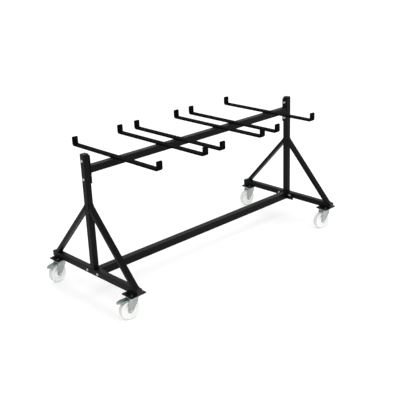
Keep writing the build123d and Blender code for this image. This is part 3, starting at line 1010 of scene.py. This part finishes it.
class RACK_OT_axle_bolts(bpy.types.Operator):
    """Axle bolt and nut of each castor"""
    bl_idname = "rack.axle_bolts"
    bl_label = "Fit axle bolts"

    def execute(self, context):
        s = sizes()
        head = (s.collar_thick + s.head) * s.axle_scale
        bolt_spin, nut_spin = SPINS["axle"]
        for i, corner in enumerate(CORNERS):
            centre, across = joint_place(f"{corner}_wheel_roll")
            bolt = f"{corner}_axle_bolt"
            seat = reach(bolt, centre, across) - head
            length = seat + reach(bolt, centre, -across)
            bolt_piece = place_pieces(
                f"{corner}_axle_set_bolt", bolt_shape(length, SHOWN_THREAD, s.axle_scale),
                [(centre + across * seat, -across, bolt_spin[0] + bolt_spin[1] * i)], "bolt_zinc")
            nut_piece = place_pieces(
                f"{corner}_axle_set_nut", nut_shape(s.axle_scale),
                [(centre - across * seat, -across, nut_spin[0] + nut_spin[1] * i)], "bolt_zinc")
            hand_over(bolt_piece, f"{corner}_fork", "fastener_zinc", bolt)
            hand_over(nut_piece, f"{corner}_fork", "fastener_zinc")
        return {"FINISHED"}


class RACK_OT_tube_caps(bpy.types.Operator):
    """Plastic caps in the open tube ends"""
    bl_idname = "rack.tube_caps"
    bl_label = "Press in caps"

    def execute(self, context):
        tops, ends = [], []
        for low, high in solids_of("post_caps"):
            middle = (low + high) / 2
            tops.append((Vector((middle.x, middle.y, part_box("near_post")[1].z)), UP, 0.0))
        beam_low, beam_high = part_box("near_base_beam")
        for low, high in solids_of("beam_end_caps"):
            middle = (low + high) / 2
            sign = 1 if middle.y > 0 else -1
            mouth = beam_high.y if sign > 0 else beam_low.y
            ends.append((Vector((middle.x, mouth, middle.z)), Vector((0, sign, 0)), 0.0))
        piece = place_pieces("post_cap_set", cap_shape(), tops, "cap_plastic")
        hand_over(piece, "frame", "cap_plastic", "post_caps")
        piece = place_pieces("beam_cap_set", cap_shape(), ends, "cap_plastic")
        hand_over(piece, "frame", "cap_plastic", "beam_end_caps")
        return {"FINISHED"}


TREAD_ROWS = 5      # rows of a wheel's outline, each side of its middle, that touch the floor
WHEEL_STEPS = 96
WHEEL_BORE = 8.05
# half section of a wheel between its hub and its rim, in mm from its middle and from its axis
WHEEL_WEB = (
    (18.6, 16.6), (17.6, 18.0), (17.6, 22.6), (16.6, 24.0), (12.6, 25.8), (11.0, 28.4),
    (11.0, 35.0), (11.8, 35.8), (11.8, 38.2), (11.0, 39.0), (11.0, 44.4), (12.4, 46.6),
    (16.4, 48.2), (17.6, 49.4), (18.0, 51.0),
)
# its rim, in mm from its middle and in from its tread
WHEEL_RIM = ((18.0, 6.0), (17.4, 3.6), (16.0, 1.7), (13.8, 0.5), (11.6, 0.05), (4.0, 0.0))


def wheel_outline(radius, half_hub):
    """Half section of a wheel as (across, out) from the bore's edge to the middle of the tread."""
    hub = half_hub / MM
    outline = [(hub - 0.8, WHEEL_BORE), (hub, WHEEL_BORE + 0.8), (hub, 13.6), (hub - 1.0, 15.0)]
    outline += WHEEL_WEB
    outline += [(across, radius / MM - depth) for across, depth in WHEEL_RIM]
    return [(across * MM, out * MM) for across, out in outline]


def mark_tread(wheel, rows, count):
    """Attribute that is 1 on the tread, where the wheel rolls, and 0 elsewhere."""
    tread = wheel.data.attributes.new("tread", "FLOAT", "POINT")
    values = []
    for row in range(rows):
        values += [1.0 if abs(row - (rows - 1) / 2) < TREAD_ROWS else 0.0] * count
    tread.data.foreach_set("value", values)


class RACK_OT_wheels(bpy.types.Operator):
    """Nylon wheels, turned from their half section"""
    bl_idname = "rack.wheels"
    bl_label = "Mount wheels"

    def execute(self, context):
        for corner in CORNERS:
            centre, across = joint_place(f"{corner}_wheel_roll")
            half_hub = reach(f"{corner}_wheel", centre, across)
            side = wheel_outline(centre.z, half_hub)
            section = side + [(-w, out) for w, out in reversed(side)]
            shape = bmesh.new()
            rings = [ring(shape, circle(out, w, WHEEL_STEPS)) for w, out in section]
            for lower, upper in zip(rings, rings[1:] + rings[:1]):
                skin(shape, lower, upper)
            bmesh.ops.recalc_face_normals(shape, faces=shape.faces)
            spin_to = across.to_track_quat("Z", "Y").to_matrix().to_4x4()
            shape.transform(Matrix.Translation(centre) @ spin_to)
            wheel = new_piece(f"{corner}_nylon_wheel", shape, "cast_nylon")
            mark_tread(wheel, len(section), WHEEL_STEPS)
            shade_smooth(wheel, SOFT)
            hand_over(wheel, f"{corner}_wheel", "wheel_nylon", f"{corner}_wheel")
        return {"FINISHED"}


PEDAL_FALL = math.radians(4)        # slope of a raised pedal's top
RIDGE_FIRST, RIDGE_STEP = 50, 7     # mm behind the pivot, and between two ridges
RIDGE_HALF_LONG, RIDGE_HALF_WIDE, RIDGE_HIGH = 9 * MM, 1.8 * MM, 1.2 * MM
RIDGE_STEPS = 28
RIDGE_CROWN = ((-0.25, 1.0), (0.35, 0.93), (0.75, 0.7), (1.0, 0.35))    # share of height, of width


def ridge_shape():
    """Crowned ridge with round ends: foot just under z 0, long along y."""
    shape = bmesh.new()
    rings = []
    for level, share in RIDGE_CROWN:
        points = circle(RIDGE_HALF_WIDE * share, RIDGE_HIGH * level, RIDGE_STEPS)
        for i, point in enumerate(points):
            first_half = math.sin(2 * math.pi * i / RIDGE_STEPS) > 0
            lean = RIDGE_HALF_LONG - RIDGE_HALF_WIDE
            point.y += lean if first_half else -lean
        rings.append(points)
    stack(shape, rings)
    return shape


class RACK_OT_pedal_ridges(bpy.types.Operator):
    """Pressed ridges across the toe of each brake pedal"""
    bl_idname = "rack.pedal_ridges"
    bl_label = "Press pedal ridges"

    def execute(self, context):
        for corner in BRAKED:
            pivot, across = joint_place(f"{corner}_brake_pedal")
            flat_back = across.cross(UP)
            wheel_centre = joint_place(f"{corner}_wheel_roll")[0]
            if flat_back.dot(wheel_centre - pivot) < 0:
                flat_back = -flat_back
            back = flat_back * math.cos(PEDAL_FALL) - UP * math.sin(PEDAL_FALL)
            lift = flat_back * math.sin(PEDAL_FALL) + UP * math.cos(PEDAL_FALL)
            top = reach(f"{corner}_brake_pedal", pivot, lift)
            spin = math.atan2(back.y, back.x)
            spots = []
            for i in range(sizes().ridges):
                behind = (RIDGE_FIRST + RIDGE_STEP * i) * MM
                spots.append((pivot + back * behind + lift * top, lift, spin))
            ridges = place_pieces(f"{corner}_pedal_ridges", ridge_shape(), spots, "pedal_zinc")
            hand_over(ridges, f"{corner}_brake", "castor_zinc")
        return {"FINISHED"}


# where the camera stands from the floor under the beam's middle, its turn (radians) and lens (mm)
CAMERA_STAND = (-3.43198, -3.63384, 2.26415)
CAMERA_YAW, CAMERA_PITCH, CAMERA_ROLL = 0.8145, -0.3587, 0.0395
CAMERA_LENS = 68.39
FLOOR_REACH = 30
DAYLIGHT = 1.09
SOFTBOX_PLACE = (0.6, -0.8, 3.4)    # from the middle of the rack
SOFTBOX_SIZE = (2.4, 2.4)
SOFTBOX_POWER = 25


class RACK_OT_studio(bpy.types.Operator):
    """Pale floor, soft lights and camera"""
    bl_idname = "rack.studio"
    bl_label = "Set up studio"

    def execute(self, context):
        shape = bmesh.new()
        bmesh.ops.create_grid(shape, x_segments=8, y_segments=8, size=FLOOR_REACH)
        floor = new_piece("studio_floor", shape, "studio_floor")
        world = bpy.data.worlds.new("studio")
        world.use_nodes = True
        background = world.node_tree.nodes["Background"]
        background.inputs["Color"].default_value = (1, 1, 1, 1)
        background.inputs["Strength"].default_value = DAYLIGHT
        context.scene.world = world
        centre = (CAD_BOX[0] + CAD_BOX[1]) / 2
        softbox("top_softbox", centre + Vector(SOFTBOX_PLACE), centre, SOFTBOX_SIZE, SOFTBOX_POWER)
        lens = bpy.data.cameras.new("camera")
        lens.lens = CAMERA_LENS
        lens.clip_end = 100
        camera = bpy.data.objects.new("camera", lens)
        context.scene.collection.objects.link(camera)
        level = Vector((math.cos(CAMERA_YAW), math.sin(CAMERA_YAW), 0))
        forward = level * math.cos(CAMERA_PITCH) + UP * math.sin(CAMERA_PITCH)
        right = forward.cross(UP).normalized()
        lean = Matrix.Rotation(CAMERA_ROLL, 3, forward)
        leaned_right = lean @ right
        leaned_above = leaned_right.cross(forward)
        facing = Matrix((leaned_right, leaned_above, -forward)).transposed()
        stand = Vector(CAMERA_STAND) + Vector((MIDDLE_X, 0, 0))
        camera.matrix_world = Matrix.Translation(stand) @ facing.to_4x4()
        context.scene.camera = camera
        context.scene.view_settings.view_transform = "Standard"
        return {"FINISHED"}


def softbox(name, place, target, size, power):
    """Rectangular area light that looks at a point."""
    light = bpy.data.lights.new(name, "AREA")
    light.shape = "RECTANGLE"
    light.size, light.size_y = size
    light.energy = power
    lamp = bpy.data.objects.new(name, light)
    lamp.location = place
    lamp.rotation_euler = (target - place).to_track_quat("-Z", "Y").to_euler()
    bpy.context.scene.collection.objects.link(lamp)


OPERATORS = (
    RACK_OT_coat_frame, RACK_OT_plate_castors, RACK_OT_weld_beads, RACK_OT_frame_fasteners,
    RACK_OT_castor_fasteners, RACK_OT_axle_bolts, RACK_OT_tube_caps, RACK_OT_wheels,
    RACK_OT_pedal_ridges, RACK_OT_studio,
)


class RACK_PT_panel(bpy.types.Panel):
    """Saddle rack tools"""
    bl_idname = "RACK_PT_panel"
    bl_label = "Saddle rack"
    bl_space_type = "VIEW_3D"
    bl_region_type = "UI"
    bl_category = "Saddle rack"

    def draw(self, context):
        for group in (context.scene.rack_sizes, context.scene.rack_colours):
            for name in group.bl_rna.properties.keys():
                if name not in ("rna_type", "name"):
                    self.layout.prop(group, name)
        for operator in OPERATORS:
            self.layout.operator(operator.bl_idname)


CLASSES = (RackSizes, RackColours, *OPERATORS, RACK_PT_panel)


def register():
    """Adds the classes and the scene's settings."""
    for item in CLASSES:
        bpy.utils.register_class(item)
    bpy.types.Scene.rack_sizes = PointerProperty(type=RackSizes)
    bpy.types.Scene.rack_colours = PointerProperty(type=RackColours)


def unregister():
    """Takes them away again."""
    del bpy.types.Scene.rack_colours
    del bpy.types.Scene.rack_sizes
    for item in reversed(CLASSES):
        bpy.utils.unregister_class(item)


def main():
    """Registers the classes and builds everything in order."""
    register()
    for operator in OPERATORS:
        group, name = operator.bl_idname.split(".")
        getattr(getattr(bpy.ops, group), name)()


if __name__ == "__main__":
    main()
